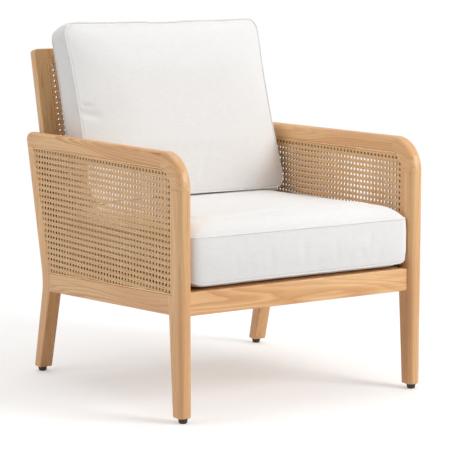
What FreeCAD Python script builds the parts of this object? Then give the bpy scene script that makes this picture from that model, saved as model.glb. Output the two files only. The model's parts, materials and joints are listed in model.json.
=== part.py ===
import FreeCAD, Part
import math
import os

# A fixed-frame lounge armchair with cane sides and back and two loose cushions.
# Every size is in millimetres. While it is modelled, Y is measured rearwards from the
# front of the front legs; at the end the whole chair is centred on Y. Z is up from the
# floor and X runs across, so "left" is the side at -X, seen from in front.

Vec = FreeCAD.Vector

# Whole chair
overall_width = 712.0
recline = 12.5                 # degrees that the back leans from upright

# Side frames
side_thickness = 36.0
arm_height = 632.0             # top of the arm at its front end
arm_fall = 0.55                # degrees that the arm drops rearwards
arm_rail_depth = 56.0
leg_width = 50.0               # front leg, front to rear, under the side rail
post_lip = 6.0                 # what it is wider above the side rail
front_foot_width = 34.0
rear_foot_width = 40.0
corner_radius = 84.0           # the big round where the arm turns into the front leg
rear_corner_radius = 18.0
edge_round_share = 0.4167      # of the side frame's thickness, all along its outside
inner_edge_round = 3.0         # under the side rail and inside the legs
foot_chamfer = 2.0
side_rail_front_z = 252.6      # underside of the side rail at the front leg
side_rail_fall = 3.0           # degrees
side_rail_depth = 66.0
knee_y = 678.8                 # where the rear leg turns, on its rear edge
knee_z = 243.0
knee_radius = 150.0
splay = 12.9                   # degrees that the rear foot kicks back
rear_leg_depth = 44.0          # front to rear, level with the knee
rear_stile_lean = 14.56        # degrees of the cane's rear edge
rear_stile_top = 36.5          # wood behind the cane, level with its top edge
corner_joint_drop = 87.0       # below the arm's top: joint of the corner block on the front leg
corner_joint_y = 83.0          # joint of the corner block on the arm rail

# Cane webbing and the spline that holds it
lip_width = 19.0               # wood behind the edge of the webbing in the side frames
back_lip_width = 13.0          # and in the back frame
cane_corner_radius = 48.0
cane_thickness = 1.6
spline_width = 5.0
spline_depth = 6.0
cane_gap_pitch = 43.2          # three meshes of the woven cane
cane_gap = 33.0

# Tenons
tenon_thickness = 11.0
tenon_length = 16.0
tenon_width = 24.0             # of those at the corner block and the arm
corner_tenon_length = 26.0
tenon_shoulder = 10.0          # wood left above and below a tenon

# Rails between the side frames
front_rail_top = 307.0
front_rail_height = 56.0
front_rail_thickness = 24.0
front_rail_setback = 15.2
rear_rail_height = 55.0
rear_rail_thickness = 23.0
rail_edge_round = 3.0

# Back frame
back_thickness = 26.5
back_setback = 15.0            # behind it, the side frame's rear edge stands proud
back_top_z = 838.0
back_stile_width = 46.0
back_top_rail = 40.0
back_bottom_rail = 62.0
back_corner_radius = 9.0
back_edge_round = 3.0
dowel_diameter = 8.0
dowel_length = 40.0
dowel_in_leg_share = 0.4
dowel_depth_share = 0.72       # behind the front face of the back frame
dowel_height_shares = (0.1, 0.5, 0.9)

# Seat deck
deck_fall = 1.5                # degrees
slat_count = 7
slat_width = 60.0
slat_thickness = 15.0
slat_side_gap = 1.0
slat_end_gap = 12.0            # from the first and last slat to the rails
cleat_width = 22.0
cleat_height = 22.0
block_leg = 62.0
block_tip = 14.0
block_height = 28.0
block_drop = 2.5               # below the slats
screw_diameter = 4.0
screw_head_diameter = 8.0
screw_head_height = 2.6
screw_length = 28.0
screw_sides = 8
slats_per_cleat_screw = 2

# Glides under the legs
glide_height = 13.0
glide_top_diameter = 24.0
glide_bottom_diameter = 20.0
glide_bottom_round = 2.0
glide_stem_diameter = 6.0
glide_stem_length = 20.0
insert_diameter = 10.0
insert_length = 14.0

# Cushions
cushion_gap = 0.4              # clear of the wood and of each other
seat_cushion_front = 7.0
seat_cushion_rear_gap = 4.0    # to the back frame, level with the rear rail
seat_cushion_corner = 24.0
seat_cushion_draw = 3.0        # how far the sides pull in between corners
seat_cushion_seams = (15.0, 125.0)     # lower and upper seam, above the deck
seat_cushion_crown = 34.0      # rise of the top above its seam
seat_cushion_crown_reach = 180.0
seat_cushion_under = 58.0      # inset of the flat on which it lies
back_cushion_side_gap = 20.0   # to each side frame
back_cushion_height = 468.0
back_cushion_corner = 30.0
back_cushion_draw = 5.0
back_cushion_press = 31.8      # how far its foot is pressed flat on the seat cushion
back_rear_seam = (71.0, 52.0)  # off the back frame, at its foot and at its top
back_front_seam = (167.0, 123.0)
back_rear_inset = 5.0
back_front_inset = 3.0
back_cushion_crown = (29.0, 27.0)      # rise of its front, at its foot and at its top
back_cushion_crown_reach = 160.0
back_cushion_behind = 150.0    # inset of the flat that touches the back
boxing_draw = 2.5              # how far a boxing pulls in between its seams
crown_steps = 5
under_steps = 3
crown_power = 2.2              # 1 would be a roof, more is fuller at the seam
crown_round_share = 0.3        # how fast a cushion's corners widen up its crown
corner_limit_share = 0.8       # of half the outline there

# Derived sizes of the side frame
half_width = overall_width / 2
inner_x = half_width - side_thickness
post_width = leg_width + post_lip
edge_round = side_thickness * edge_round_share
centre_x = half_width - side_thickness / 2
corner_joint_z = arm_height - corner_joint_drop
rear_leg_front_y = knee_y - rear_leg_depth
overrun = 50.0                 # how far a cutting solid runs past what it cuts
right_angle = 90.0


def tan(degrees):
    return math.tan(math.radians(degrees))


def sin(degrees):
    return math.sin(math.radians(degrees))


def cos(degrees):
    return math.cos(math.radians(degrees))


# Lines and outlines in the side view, as (y, z) points

def meet(p, p_lean, q, q_lean):
    """Where the line through p meets the line through q; leans are degrees from upright."""
    py, pz = p
    qy, qz = q
    z = (qy - py + pz * tan(p_lean) - qz * tan(q_lean)) / (tan(p_lean) - tan(q_lean))
    return (py + (z - pz) * tan(p_lean), z)


def at_y(p, fall, y):
    """The point at y on the line through p that falls rearwards by so many degrees."""
    return (y, p[1] - (y - p[0]) * tan(fall))


def inset_lines(points, inset):
    """Move each side of a convex outline inwards and return its new corners."""
    count = len(points)
    centre_y = sum(p[0] for p in points) / count
    centre_z = sum(p[1] for p in points) / count
    lines = []
    for i in range(count):
        a, b = points[i], points[(i + 1) % count]
        length = math.hypot(b[0] - a[0], b[1] - a[1])
        ny, nz = (b[1] - a[1]) / length, -(b[0] - a[0]) / length
        if (centre_y - a[0]) * ny + (centre_z - a[1]) * nz < 0:
            ny, nz = -ny, -nz
        lines.append((ny, nz, a[0] * ny + a[1] * nz + inset))
    corners = []
    for i in range(count):
        a, b = lines[i - 1], lines[i]
        det = a[0] * b[1] - a[1] * b[0]
        corners.append(((a[2] * b[1] - b[2] * a[1]) / det, (a[0] * b[2] - b[0] * a[2]) / det))
    return corners, lines


def rounded_wire(points, radii, place):
    """A closed wire through points, each corner rounded by its own radius (0 is sharp)."""
    count = len(points)
    stops = []
    for i in range(count):
        a, p, b = points[i - 1], points[i], points[(i + 1) % count]
        radius = radii[i]
        if radius == 0:
            stops.append((place(*p), None, place(*p)))
            continue
        ua = ((a[0] - p[0]), (a[1] - p[1]))
        ub = ((b[0] - p[0]), (b[1] - p[1]))
        la, lb = math.hypot(*ua), math.hypot(*ub)
        ua = (ua[0] / la, ua[1] / la)
        ub = (ub[0] / lb, ub[1] / lb)
        half = math.acos(ua[0] * ub[0] + ua[1] * ub[1]) / 2
        back = radius / math.tan(half)
        bisector = (ua[0] + ub[0], ua[1] + ub[1])
        size = math.hypot(*bisector)
        out = radius / math.sin(half) - radius
        middle = (p[0] + bisector[0] / size * out, p[1] + bisector[1] / size * out)
        start = (p[0] + ua[0] * back, p[1] + ua[1] * back)
        end = (p[0] + ub[0] * back, p[1] + ub[1] * back)
        stops.append((place(*start), place(*middle), place(*end)))
    edges = []
    for i in range(count):
        start, middle, end = stops[i]
        if middle is not None:
            edges.append(Part.Arc(start, middle, end).toShape())
        edges.append(Part.makeLine(end, stops[(i + 1) % count][0]))
    return Part.Wire(edges)


def side_plane(x):
    return lambda y, z: Vec(x, y, z)


def side_prism(points, radii, x_from, x_to):
    """A flat slab of the side view's outline between two x planes."""
    face = Part.Face(rounded_wire(points, radii, side_plane(x_from)))
    return face.extrude(Vec(x_to - x_from, 0, 0))


def box(low, high):
    return Part.makeBox(high[0] - low[0], high[1] - low[1], high[2] - low[2], Vec(*low))


# The side frame's named points

front_top = (0.0, arm_height)
arm_under = (0.0, arm_height - arm_rail_depth)
rear_top = meet((knee_y, knee_z), recline, front_top, right_angle + arm_fall)
knee = (knee_y, knee_z)
rear_foot_back = (knee_y + (knee_z - glide_height) * tan(splay), glide_height)
rear_foot_front = (rear_foot_back[0] - rear_foot_width, glide_height)
rail_under_front = (leg_width, side_rail_front_z)
rail_under_rear = at_y(rail_under_front, side_rail_fall, rear_leg_front_y)
rail_over_front = (leg_width, side_rail_front_z + side_rail_depth)
cane_top_rear_z = at_y((0.0, arm_under[1] + lip_width), arm_fall, rear_top[0])[1]
cane_top_rear = (knee_y + (cane_top_rear_z - knee_z) * tan(recline) - rear_stile_top, cane_top_rear_z)
open_rear = (cane_top_rear[0] - lip_width / cos(rear_stile_lean), cane_top_rear[1])

outline_points = [
    (0.0, glide_height), front_top, rear_top, knee, rear_foot_back,
    rear_foot_front, rail_under_rear, rail_under_front, (front_foot_width, glide_height)]
outline_radii = [0, corner_radius, rear_corner_radius, knee_radius, 0, 0, 0, 0, 0]

opening_points = [
    at_y(rail_over_front, side_rail_fall, post_width),
    at_y(arm_under, arm_fall, post_width),
    meet(open_rear, rear_stile_lean, arm_under, right_angle + arm_fall),
    meet(open_rear, rear_stile_lean, rail_over_front, right_angle + side_rail_fall)]


def cane_outline(inset):
    """The webbing's outline in the side frame; inset 0 is the outer edge of its spline."""
    points, lines = inset_lines(opening_points, inset - lip_width)
    return points, [0, cane_corner_radius - inset, 0, 0], lines


def side_slab(inset, x_from, x_to):
    points, radii, _ = cane_outline(inset)
    return side_prism(points, radii, x_from, x_to)


def round_edges(solid, chosen, radius):
    edges = [edge for edge in solid.Edges if chosen(edge)]
    return solid.makeFillet(radius, edges)


def chamfer_feet(body):
    edges = [edge for edge in body.Edges if edge.BoundBox.ZMax < glide_height + foot_chamfer]
    return body.makeChamfer(foot_chamfer, edges)


def whole_side():
    """The right side frame in one piece, rounded, with its opening, rebates and grooves."""
    body = side_prism(outline_points, outline_radii, inner_x, half_width)

    def on_faces(edge):
        above_foot = edge.CenterOfMass.z > glide_height + foot_chamfer
        return above_foot and edge.BoundBox.XLength < cane_thickness

    def inside(edge):
        y, z = edge.CenterOfMass.y, edge.CenterOfMass.z
        return z < side_rail_front_z and front_foot_width / 2 < y < rear_foot_front[0] - foot_chamfer

    body = round_edges(body, lambda edge: on_faces(edge) and not inside(edge), edge_round)
    body = round_edges(body, lambda edge: on_faces(edge) and inside(edge), inner_edge_round)
    body = chamfer_feet(body)
    body = body.cut(side_slab(lip_width, inner_x - overrun, half_width + overrun))
    for face_x, inwards in ((half_width, -1.0), (inner_x, 1.0)):
        rebate = side_slab(0.0, face_x - inwards * overrun, face_x + inwards * cane_thickness)
        groove = side_slab(0.0, face_x - inwards * overrun, face_x + inwards * spline_depth)
        kept = side_slab(spline_width, face_x - inwards * overrun, face_x + inwards * overrun)
        body = body.cut(rebate)
        body = body.cut(groove.cut(kept))
    return body


def region(points):
    return side_prism(points, [0] * len(points), inner_x - overrun, half_width + overrun)


def side_tenon(low, high):
    """A tenon in the middle of the side frame's thickness."""
    half = tenon_thickness / 2
    return box((centre_x - half, low[0], low[1]), (centre_x + half, high[0], high[1]))


def side_members():
    """Cut the side frame into its five pieces and join them with tenons."""
    frame = whole_side()
    far_front, far_rear = -overrun, rear_top[0] + overrun
    far_top, far_low = arm_height + overrun, -overrun
    under = at_y(arm_under, arm_fall, far_rear)
    split_top = opening_points[3]
    lean = math.degrees(math.atan2(split_top[0] - rail_under_rear[0], split_top[1] - rail_under_rear[1]))
    split_high = meet(split_top, lean, arm_under, right_angle + arm_fall)
    split_low = (rail_under_rear[0] + (far_low - rail_under_rear[1]) * tan(lean), far_low)
    leg_rear = post_width + lip_width
    rail_start = at_y(arm_under, arm_fall, corner_joint_y)
    regions = {
        "front_leg": [(far_front, far_low), (far_front, corner_joint_z), (leg_rear, corner_joint_z),
                      at_y(rail_over_front, side_rail_fall, leg_rear), rail_over_front,
                      (leg_width, far_low)],
        "arm_corner": [(far_front, corner_joint_z), (far_front, far_top),
                       (corner_joint_y, far_top), (corner_joint_y, corner_joint_z)],
        "arm_rail": [rail_start, (corner_joint_y, far_top), (far_rear, far_top), under],
        "side_rail": [(leg_width, far_low), rail_over_front, split_top, split_low],
        "rear_leg": [split_low, split_high, under, (far_rear, far_low)],
    }
    members = {name: frame.common(region(points)) for name, points in regions.items()}
    return join_members(members)


def join_members(members):
    """Give the members their tenons, each with its mortise in the next piece."""
    leg_middle = leg_width / 2
    arm_middle = at_y(arm_under, arm_fall, corner_joint_y)[1] + arm_rail_depth / 2
    half_tenon = tenon_width / 2
    rail_low = rail_under_front[1] + tenon_shoulder
    rail_high = rail_over_front[1] - tenon_shoulder * 2
    rear_low = rail_under_rear[1] + tenon_shoulder * 2
    rear_high = rear_low + rail_high - rail_low - tenon_shoulder
    seat_y = (rail_under_rear[0] + opening_points[3][0]) / 2
    stile_y = (opening_points[2][0] + rear_top[0] - tenon_shoulder) / 2
    stile_z = at_y(arm_under, arm_fall, stile_y + half_tenon)[1]
    joints = (
        ("front_leg", "arm_corner", (leg_middle - half_tenon, corner_joint_z - tenon_shoulder),
         (leg_middle + half_tenon, corner_joint_z + corner_tenon_length)),
        ("arm_rail", "arm_corner", (corner_joint_y - corner_tenon_length, arm_middle - half_tenon),
         (corner_joint_y + tenon_shoulder, arm_middle + half_tenon)),
        ("side_rail", "front_leg", (leg_width - tenon_length, rail_low),
         (leg_width + tenon_shoulder, rail_high)),
        ("side_rail", "rear_leg", (seat_y - tenon_shoulder, rear_low),
         (seat_y + tenon_length, rear_high)),
        ("rear_leg", "arm_rail", (stile_y - half_tenon, stile_z - tenon_shoulder),
         (stile_y + half_tenon, stile_z + tenon_length)))
    for giver, taker, low, high in joints:
        tenon = side_tenon(low, high)
        members[taker] = members[taker].cut(tenon)
        members[giver] = members[giver].fuse(tenon).removeSplitter()
    return members


# Cane webbing and splines

def holed_sheet(edge_wire, lines, corner, radius, place, span, thickness):
    """A thin sheet with a lattice of square gaps that keeps clear of its edges."""
    (low_u, low_v), (high_u, high_v) = span
    columns = int((high_u - low_u) / cane_gap_pitch)
    rows = int((high_v - low_v) / cane_gap_pitch)
    start_u = (low_u + high_u - (columns - 1) * cane_gap_pitch) / 2
    start_v = (low_v + high_v - (rows - 1) * cane_gap_pitch) / 2
    margin = (cane_gap_pitch - cane_gap) / 2
    wires = [edge_wire]
    signs = ((-1, -1), (-1, 1), (1, 1), (1, -1))
    for column in range(columns):
        for row in range(rows):
            u, v = start_u + column * cane_gap_pitch, start_v + row * cane_gap_pitch
            square = [(u + du * cane_gap / 2, v + dv * cane_gap / 2) for du, dv in signs]
            if all(clear_of_edges(p, lines, corner, radius, margin) for p in square):
                wires.append(Part.makePolygon([place(*p) for p in square + square[:1]]))
    print("gaps in a cane sheet:", len(wires) - 1)
    return Part.Face(wires).extrude(thickness)


def clear_of_edges(p, lines, corner, radius, margin):
    for nu, nv, distance in lines:
        if p[0] * nu + p[1] * nv - distance < margin:
            return False
    if corner and p[0] < corner[0] and p[1] > corner[1]:
        return math.hypot(p[0] - corner[0], p[1] - corner[1]) < radius - margin
    return True


def side_cane(face_x, inwards):
    points, radii, lines = cane_outline(spline_width)
    _, _, open_lines = cane_outline(lip_width)
    wire = rounded_wire(points, radii, side_plane(face_x + inwards * cane_thickness))
    corner = (opening_points[1][0] + cane_corner_radius - lip_width,
              opening_points[1][1] - cane_corner_radius + lip_width)
    span = ((min(p[0] for p in points), min(p[1] for p in points)),
            (max(p[0] for p in points), max(p[1] for p in points)))
    return holed_sheet(wire, open_lines, corner, cane_corner_radius - lip_width,
                       side_plane(face_x + inwards * cane_thickness), span,
                       Vec(-inwards * cane_thickness, 0, 0))


def side_spline(face_x, inwards):
    ring = side_slab(0.0, face_x, face_x + inwards * spline_depth)
    return ring.cut(side_slab(spline_width, face_x - inwards * overrun, face_x + inwards * overrun))


# The back frame, drawn on its own sloping plane: u across, v up the slope, w rearwards

def rear_edge_y(z):
    return knee_y + (z - knee_z) * tan(recline)


back_rear_y0 = rear_edge_y(0.0) - back_setback / cos(recline)
back_front_y0 = back_rear_y0 - back_thickness / cos(recline)
deck_front_y = front_rail_setback + front_rail_thickness


def deck_z(y):
    return front_rail_top - (y - deck_front_y) * tan(deck_fall)


def back_front_y(z):
    return back_front_y0 + z * tan(recline)


def back_plane(w):
    """Place a (u, v) point of the back frame at w behind its front face."""
    def place(u, v):
        y = back_front_y0 + v * sin(recline) + w * cos(recline)
        z = v * cos(recline) - w * sin(recline)
        return Vec(u, y, z)
    return place


def back_slab(points, radii, w_from, w_to):
    face = Part.Face(rounded_wire(points, radii, back_plane(w_from)))
    depth = w_to - w_from
    return face.extrude(Vec(0, depth * cos(recline), -depth * sin(recline)))


rear_rail_rear_y = back_front_y(deck_z(back_front_y(front_rail_top))) + back_thickness
rear_rail_front_y = rear_rail_rear_y - rear_rail_thickness
rear_rail_top = deck_z(rear_rail_front_y)
back_top_v = back_top_z / cos(recline)
back_low_v = rear_rail_top / cos(recline)
back_open_u = inner_x - back_stile_width
back_open_top = back_top_v - back_top_rail
back_open_low = back_low_v + back_bottom_rail
back_opening = [(-back_open_u, back_open_low), (-back_open_u, back_open_top),
                (back_open_u, back_open_top), (back_open_u, back_open_low)]


def back_outline(inset):
    return inset_lines(back_opening, inset - back_lip_width)


def back_ring(inset, w_from, w_to):
    points, _ = back_outline(inset)
    return back_slab(points, [0] * len(points), w_from, w_to)


def back_members():
    """The back frame: two stiles with a top and a bottom rail between them."""
    low_v = back_low_v - overrun
    points = [(-inner_x, low_v), (-inner_x, back_top_v), (inner_x, back_top_v), (inner_x, low_v)]
    body = back_slab(points, [0, back_corner_radius, back_corner_radius, 0], 0.0, back_thickness)
    lowest_z = low_v * cos(recline)

    def outer(edge):
        across = abs(edge.Length - back_thickness) < cane_thickness
        return not across and edge.CenterOfMass.z > lowest_z + back_thickness / 2

    body = round_edges(body, outer, back_edge_round)
    below = box((-half_width, 0.0, lowest_z - overrun), (half_width, overall_width * 2, rear_rail_top))
    body = body.cut(below)
    body = body.cut(back_ring(back_lip_width, -overrun, back_thickness + overrun))
    kept = back_ring(spline_width, -overrun * 2, back_thickness + overrun * 2)
    for face_w, inwards in ((0.0, 1.0), (back_thickness, -1.0)):
        outside = face_w - inwards * overrun
        body = body.cut(back_ring(0.0, *sorted((outside, face_w + inwards * cane_thickness))))
        groove = back_ring(0.0, *sorted((outside, face_w + inwards * spline_depth)))
        body = body.cut(groove.cut(kept))
    far_v = back_top_v + overrun
    middle_v = (back_open_low + back_open_top) / 2
    ranges = {
        "back_left_stile": (-inner_x - overrun, -back_open_u, low_v, far_v),
        "back_right_stile": (back_open_u, inner_x + overrun, low_v, far_v),
        "back_top_rail": (-back_open_u, back_open_u, middle_v, far_v),
        "back_bottom_rail": (-back_open_u, back_open_u, low_v, middle_v)}
    members = {}
    for name, (u0, u1, v0, v1) in ranges.items():
        corners = [(u0, v0), (u0, v1), (u1, v1), (u1, v0)]
        part = back_slab(corners, [0] * len(corners), -overrun, back_thickness + overrun)
        members[name] = body.common(part)
    return tenon_back_rails(members)


def tenon_back_rails(members):
    w_low = (back_thickness - tenon_thickness) / 2
    heights = {"back_top_rail": (back_open_top, back_top_v),
               "back_bottom_rail": (back_low_v, back_open_low)}
    for name, (v0, v1) in heights.items():
        for side, stile in ((-1.0, "back_left_stile"), (1.0, "back_right_stile")):
            near, far = side * (back_open_u - tenon_shoulder), side * (back_open_u + tenon_length)
            points = [(near, v0 + tenon_shoulder), (near, v1 - tenon_shoulder),
                      (far, v1 - tenon_shoulder), (far, v0 + tenon_shoulder)]
            tenon = back_slab(points, [0] * len(points), w_low, w_low + tenon_thickness)
            members[stile] = members[stile].cut(tenon)
            members[name] = members[name].fuse(tenon).removeSplitter()
    return members


def back_cane(face_w, inwards):
    points, _ = back_outline(spline_width)
    _, open_lines = back_outline(back_lip_width)
    place = back_plane(face_w + inwards * cane_thickness)
    span = (points[0], points[2])
    depth = -inwards * cane_thickness
    edge_wire = rounded_wire(points, [0] * len(points), place)
    return holed_sheet(edge_wire, open_lines, None, 0.0, place, span,
                       Vec(0, depth * cos(recline), -depth * sin(recline)))


def back_spline(face_w, inwards):
    low, high = sorted((face_w, face_w + inwards * spline_depth))
    return back_ring(0.0, low, high).cut(back_ring(spline_width, low - overrun, high + overrun))


# Rails, deck and fixings

def cross_rail(low, high, tenon_z):
    """A rail between the side frames, tenoned into the legs at both ends."""
    rail = box(low, high)
    rail = rail.makeFillet(rail_edge_round, [e for e in rail.Edges if e.Length > inner_x])
    tenon_y = (low[1] + high[1] - tenon_thickness) / 2
    reach = inner_x + tenon_length
    tenon = box((-reach, tenon_y, tenon_z[0]), (reach, tenon_y + tenon_thickness, tenon_z[1]))
    return rail.fuse(tenon).removeSplitter(), tenon


def front_rail():
    low = (-inner_x, front_rail_setback, front_rail_top - front_rail_height)
    high = (inner_x, deck_front_y, front_rail_top)
    return cross_rail(low, high, (low[2] + tenon_shoulder, high[2] - tenon_shoulder))


def rear_rail():
    low = (-inner_x, rear_rail_front_y, rear_rail_top - rear_rail_height)
    high = (inner_x, rear_rail_rear_y, rear_rail_top)
    return cross_rail(low, high, (low[2] + tenon_shoulder, high[2] - tenon_shoulder * 2))


deck_start = deck_front_y + slat_end_gap
deck_end = rear_rail_front_y - slat_end_gap
slat_pitch = (deck_end - deck_start - slat_width) / (slat_count - 1)


def slat(index):
    y = deck_start + index * slat_pitch
    half = inner_x - slat_side_gap
    points = [(y, deck_z(y)), (y + slat_width, deck_z(y + slat_width)),
              (y + slat_width, deck_z(y + slat_width) - slat_thickness), (y, deck_z(y) - slat_thickness)]
    face = Part.Face(rounded_wire(points, [0] * len(points), side_plane(-half)))
    return face.extrude(Vec(half * 2, 0, 0))


def cleat():
    """The strip on the right side rail that the slats lie on."""
    y0, y1 = deck_front_y + block_leg, rear_rail_front_y - block_leg
    top0, top1 = deck_z(y0) - slat_thickness, deck_z(y1) - slat_thickness
    points = [(y0, top0), (y1, top1), (y1, top1 - cleat_height), (y0, top0 - cleat_height)]
    face = Part.Face(rounded_wire(points, [0] * len(points), side_plane(inner_x - cleat_width)))
    return face.extrude(Vec(cleat_width, 0, 0))


def corner_block(rail_y, rearwards):
    """A triangular block in the right-hand corner of the seat, at the rail whose face is rail_y."""
    top = deck_z(rail_y + (rearwards + 1) / 2 * block_leg) - slat_thickness - block_drop

    def point(across, along):
        return Vec(inner_x - across, rail_y + rearwards * along, top - block_height)

    points = [point(0.0, 0.0), point(block_leg, 0.0), point(block_leg, block_tip),
              point(block_tip, block_leg), point(0.0, block_leg)]
    face = Part.Face(Part.makePolygon(points + [points[0]]))
    return face.extrude(Vec(0, 0, block_height))


def screw(head, direction):
    """A countersunk screw with few sides, whose head's top is at head."""
    turn = FreeCAD.Rotation(Vec(0, 0, 1), direction)
    rings = ((0.0, screw_head_diameter), (screw_head_height, screw_diameter), (screw_length, screw_diameter))
    wires = []
    for depth, diameter in rings:
        corners = []
        for side in range(screw_sides + 1):
            angle = 360.0 * side / screw_sides
            corner = Vec(cos(angle) * diameter / 2, sin(angle) * diameter / 2, depth)
            corners.append(head + turn.multVec(corner))
        wires.append(Part.makePolygon(corners))
    return Part.makeLoft(wires, True, True)


def slat_screws(sides):
    x = inner_x - cleat_width / 2
    screws = []
    for index in range(slat_count):
        y = deck_start + index * slat_pitch + slat_width / 2
        down = Vec(0, -sin(deck_fall), -cos(deck_fall))
        for side in sides:
            screws.append(screw(Vec(side * x, y, deck_z(y)), down))
    return screws


def cleat_screws(sides):
    screws = []
    for index in range(1, slat_count - 1, slats_per_cleat_screw):
        y = deck_start + index * slat_pitch - (slat_pitch - slat_width) / 2
        z = deck_z(y) - slat_thickness - cleat_height / 2
        for side in sides:
            screws.append(screw(Vec(side * (inner_x - cleat_width), y, z), Vec(side, 0, 0)))
    return screws


def block_screws(sides):
    screws = []
    for rail_y, rearwards in ((deck_front_y, 1.0), (rear_rail_front_y, -1.0)):
        top = deck_z(rail_y + (rearwards + 1) / 2 * block_leg) - slat_thickness - block_drop
        z = top - block_height / 2
        offset = block_leg - block_tip / 2
        for side in sides:
            along = Vec(side * (inner_x - offset), rail_y + rearwards * block_tip, z)
            across = Vec(side * (inner_x - block_tip), rail_y + rearwards * offset, z)
            screws.append(screw(along, Vec(0, -rearwards, 0)))
            screws.append(screw(across, Vec(side, 0, 0)))
    return screws


def back_dowels(sides):
    span = opening_points[2][1] - back_open_low
    place = back_plane(back_thickness * dowel_depth_share)
    inner_end = inner_x + dowel_length * (dowel_in_leg_share - 1.0)
    dowels = []
    for share in dowel_height_shares:
        centre = place(inner_end, back_open_low + span * share)
        for side in sides:
            start = Vec(side * centre.x, centre.y, centre.z)
            dowels.append(Part.makeCylinder(dowel_diameter / 2, dowel_length, start, Vec(side, 0, 0)))
    return dowels


def glide(y):
    """A turned glide under the right leg, with the stem that screws up into it."""
    top, bottom, stem = glide_top_diameter / 2, glide_bottom_diameter / 2, glide_stem_diameter / 2
    stem_top = glide_height + glide_stem_length
    points = [Vec(0, 0, 0), Vec(bottom - glide_bottom_round, 0, 0), Vec(bottom, 0, glide_bottom_round),
              Vec(top, 0, glide_height), Vec(stem, 0, glide_height), Vec(stem, 0, stem_top),
              Vec(0, 0, stem_top)]
    turned = Part.Face(Part.makePolygon(points + [points[0]])).revolve(Vec(0, 0, 0), Vec(0, 0, 1), 360)
    turned.translate(Vec(centre_x, y, 0))
    return turned


def glide_insert(y):
    """The threaded sleeve in the leg's foot that takes the glide's stem."""
    place = Vec(centre_x, y, glide_height)
    sleeve = Part.makeCylinder(insert_diameter / 2, insert_length, place)
    return sleeve.cut(Part.makeCylinder(glide_stem_diameter / 2, insert_length, place))


# Cushions: ruled lofts through rounded outlines whose sides pull in between the corners

seat_cushion_depth = back_front_y(rear_rail_top) - seat_cushion_rear_gap - seat_cushion_front
seat_crown_rear_y = seat_cushion_front + seat_cushion_depth - seat_cushion_crown_reach
seat_cushion_top = deck_z(seat_crown_rear_y) + seat_cushion_seams[1] + seat_cushion_crown + cushion_gap
back_cushion_seat = seat_cushion_top + cushion_gap
back_cushion_foot = back_cushion_seat - back_cushion_press
back_cushion_width = (inner_x - back_cushion_side_gap) * 2


def cushion_wire(width, length, corner, draw, inset, heights, place):
    """One outline of a cushion: four corner arcs with a drawn-in arc between each two."""
    half_u, half_v = width / 2 - inset, length / 2 - inset
    low_height, high_height = heights

    def point(u, v):
        share = (v + length / 2) / length
        return place(u, v + length / 2, low_height + (high_height - low_height) * share)

    bulge = corner * (1.0 - math.sqrt(0.5))
    edges = []
    for su, sv in ((1, 1), (-1, 1), (-1, -1), (1, -1)):
        upright = point(su * half_u, sv * (half_v - corner))
        middle = point(su * (half_u - bulge), sv * (half_v - bulge))
        level = point(su * (half_u - corner), sv * half_v)
        if su * sv > 0:
            across = point(0.0, sv * (half_v - draw))
            edges.append(Part.Arc(upright, middle, level).toShape())
            edges.append(Part.Arc(level, across, point(su * (corner - half_u), sv * half_v)).toShape())
        else:
            along = point(su * (half_u - draw), 0.0)
            edges.append(Part.Arc(level, middle, upright).toShape())
            edges.append(Part.Arc(upright, along, point(su * half_u, sv * (corner - half_v))).toShape())
    return Part.Wire(edges)


def crown(seam, rise, inset, reach, steps):
    """Outlines up a crown as (inset, low height, high height), fuller near the seam."""
    rings = []
    for step in range(1, steps + 1):
        share = step / steps
        full = 1.0 - (1.0 - share) ** crown_power
        rings.append((inset + (reach - inset) * share, seam[0] + rise[0] * full, seam[1] + rise[1] * full))
    return rings


def cushion_rings(seams, rises, insets, reaches):
    """From the underside's flat, over its two seams, to the top of the crown."""
    lower, upper = seams
    under = crown(lower, (-rises[0][0], -rises[0][1]), insets[0], reaches[0], under_steps)
    middle = ((insets[0] + insets[1]) / 2 + boxing_draw, (lower[0] + upper[0]) / 2, (lower[1] + upper[1]) / 2)
    boxing = [(insets[0], *lower), middle, (insets[1], *upper)]
    return under[::-1] + boxing + crown(upper, rises[1], insets[1], reaches[1], crown_steps)


def cushion(width, length, corner, draw, rings, place):
    wires = []
    for inset, low_height, high_height in rings:
        room = (min(width, length) / 2 - inset) * corner_limit_share
        wider = min(corner + inset * crown_round_share, room)
        wires.append(cushion_wire(width, length, wider, draw, inset, (low_height, high_height), place))
    return Part.makeLoft(wires, True, True)


def seat_cushion():
    def place(u, v, height):
        y = seat_cushion_front + v
        return Vec(u, y, deck_z(y) + height + cushion_gap)

    low, high = seat_cushion_seams
    rings = cushion_rings(((low, low), (high, high)),
                          ((low, low), (seat_cushion_crown, seat_cushion_crown)),
                          (0.0, 0.0), (seat_cushion_under, seat_cushion_crown_reach))
    width = (inner_x - cushion_gap) * 2
    return cushion(width, seat_cushion_depth, seat_cushion_corner, seat_cushion_draw, rings, place)


def back_cushion():
    """It leans on the back frame and is pressed flat where it stands on the seat cushion."""
    def place(u, v, height):
        y = back_front_y(back_cushion_foot) + v * sin(recline) - (height + cushion_gap) * cos(recline)
        z = back_cushion_foot + v * cos(recline) + (height + cushion_gap) * sin(recline)
        return Vec(u, y, z)

    rings = cushion_rings((back_rear_seam, back_front_seam), (back_rear_seam, back_cushion_crown),
                          (back_rear_inset, back_front_inset),
                          (back_cushion_behind, back_cushion_crown_reach))
    body = cushion(back_cushion_width, back_cushion_height, back_cushion_corner, back_cushion_draw,
                   rings, place)
    below = box((-half_width, 0.0, 0.0), (half_width, overall_width * 2, back_cushion_seat))
    return body.cut(below)


# Put the chair together

def mirrored(shape):
    return shape.mirror(Vec(0, 0, 0), Vec(1, 0, 0))


def carve(nodes, names, tools):
    for name in names:
        for tool in tools:
            if nodes[name].BoundBox.intersect(tool.BoundBox):
                nodes[name] = nodes[name].cut(tool)


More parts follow.
